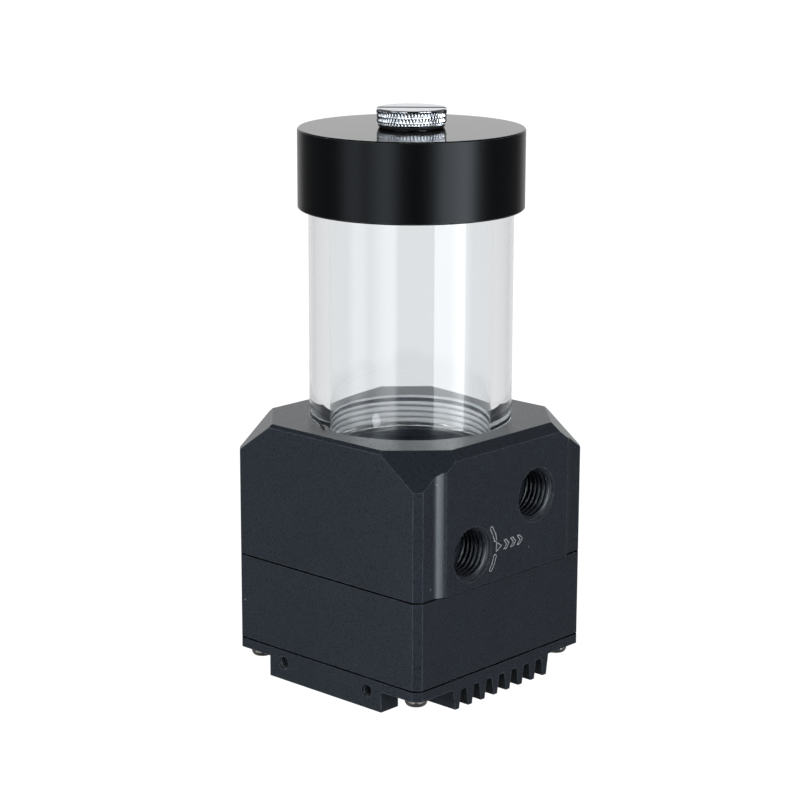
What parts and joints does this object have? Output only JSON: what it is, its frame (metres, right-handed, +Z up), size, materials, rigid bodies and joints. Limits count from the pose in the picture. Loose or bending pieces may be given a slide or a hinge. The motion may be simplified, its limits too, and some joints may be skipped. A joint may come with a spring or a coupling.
{
  "type": "coolant pump reservoir",
  "caption": "Small liquid-cooling pump in a square black block on a finned base, with a clear tube reservoir, a screw cap and a knurled fill plug.",
  "frame": {"origin": "middle of the base, on the plane that the fins and bars stand on", "axes": "+Z up through the tube, along the rotor's axis; +X towards the face with the two ports; -Y is the front face"},
  "size_m": [0.0644, 0.0616, 0.141],
  "materials": {
    "black_body": "black anodised over a fine bead-blasted surface",
    "black_cap": "black anodised, fine turned sides and a polished top",
    "screw_steel": "plain stainless steel",
    "thermal_pad": "soft grey-blue silicone",
    "circuit_board": "green solder mask",
    "chips": "moulded black",
    "spacer_nylon": "natural nylon",
    "black_rubber": "moulded rubber",
    "core_steel": "laminated electrical steel",
    "bobbin_nylon": "moulded nylon",
    "copper_wire": "enamelled copper wire",
    "can_steel": "drawn stainless steel",
    "ceramic": "ground white ceramic",
    "carbon": "sintered carbon",
    "magnet": "pressed ferrite",
    "impeller_plastic": "moulded, glass-filled",
    "black_plastic": "moulded black",
    "clear_acrylic": "clear, polished",
    "plug_plating": "bright nickel plating over brass"
  },
  "bodies": {
    "pump_body": {"heat_sink_base": "black_body", "corner_screws": "screw_steel", "thermal_pad": "thermal_pad", "control_board": "circuit_board", "board_components": "chips", "board_spacers": "spacer_nylon", "motor_housing": "black_body", "cable_grommet": "black_rubber", "stator_core": "core_steel", "coil_bobbins": "bobbin_nylon", "stator_coils": "copper_wire", "separator_can": "can_steel", "can_o_ring": "black_rubber", "rotor_shaft": "ceramic", "thrust_washers": "ceramic", "suction_spider": "black_plastic", "pump_top_block": "black_body", "tube_o_ring": "black_rubber", "reservoir_tube": "clear_acrylic"},
    "rotor": {"impeller": "impeller_plastic", "rotor_bush": "carbon", "rotor_yoke": "core_steel", "rotor_magnet": "magnet"},
    "cap_seal": {"cap_o_ring": "black_rubber"},
    "cap": {"top_cap": "black_cap"},
    "plug_seal": {"fill_plug_o_ring": "black_rubber"},
    "plug": {"fill_plug": "plug_plating"}
  },
  "joints": [
    {"name": "impeller_spin", "type": "hinge", "parent": "pump_body", "child": "rotor", "pos_m": [0, 0, 0.03], "axis": [0, 0, 1], "continuous": true},
    {"name": "cap_lift", "type": "slide", "parent": "pump_body", "child": "cap_seal", "axis": [0, 0, 1], "range_m": [0, 0.0117]},
    {"name": "cap_turn", "type": "hinge", "parent": "cap_seal", "child": "cap", "pos_m": [0, 0, 0.126], "axis": [0, 0, 1], "range_deg": [0, 2790]},
    {"name": "plug_lift", "type": "slide", "parent": "cap", "child": "plug_seal", "axis": [0, 0, 1], "range_m": [0, 0.0071]},
    {"name": "plug_turn", "type": "hinge", "parent": "plug_seal", "child": "plug", "pos_m": [0, 0, 0.136], "axis": [0, 0, 1], "range_deg": [0, 1890]}
  ],
  "couplings": [
    {"joint": "cap_lift", "follows": "cap_turn", "m_per_rad": 0.00023873},
    {"joint": "plug_lift", "follows": "plug_turn", "m_per_rad": 0.00021279}
  ]
}
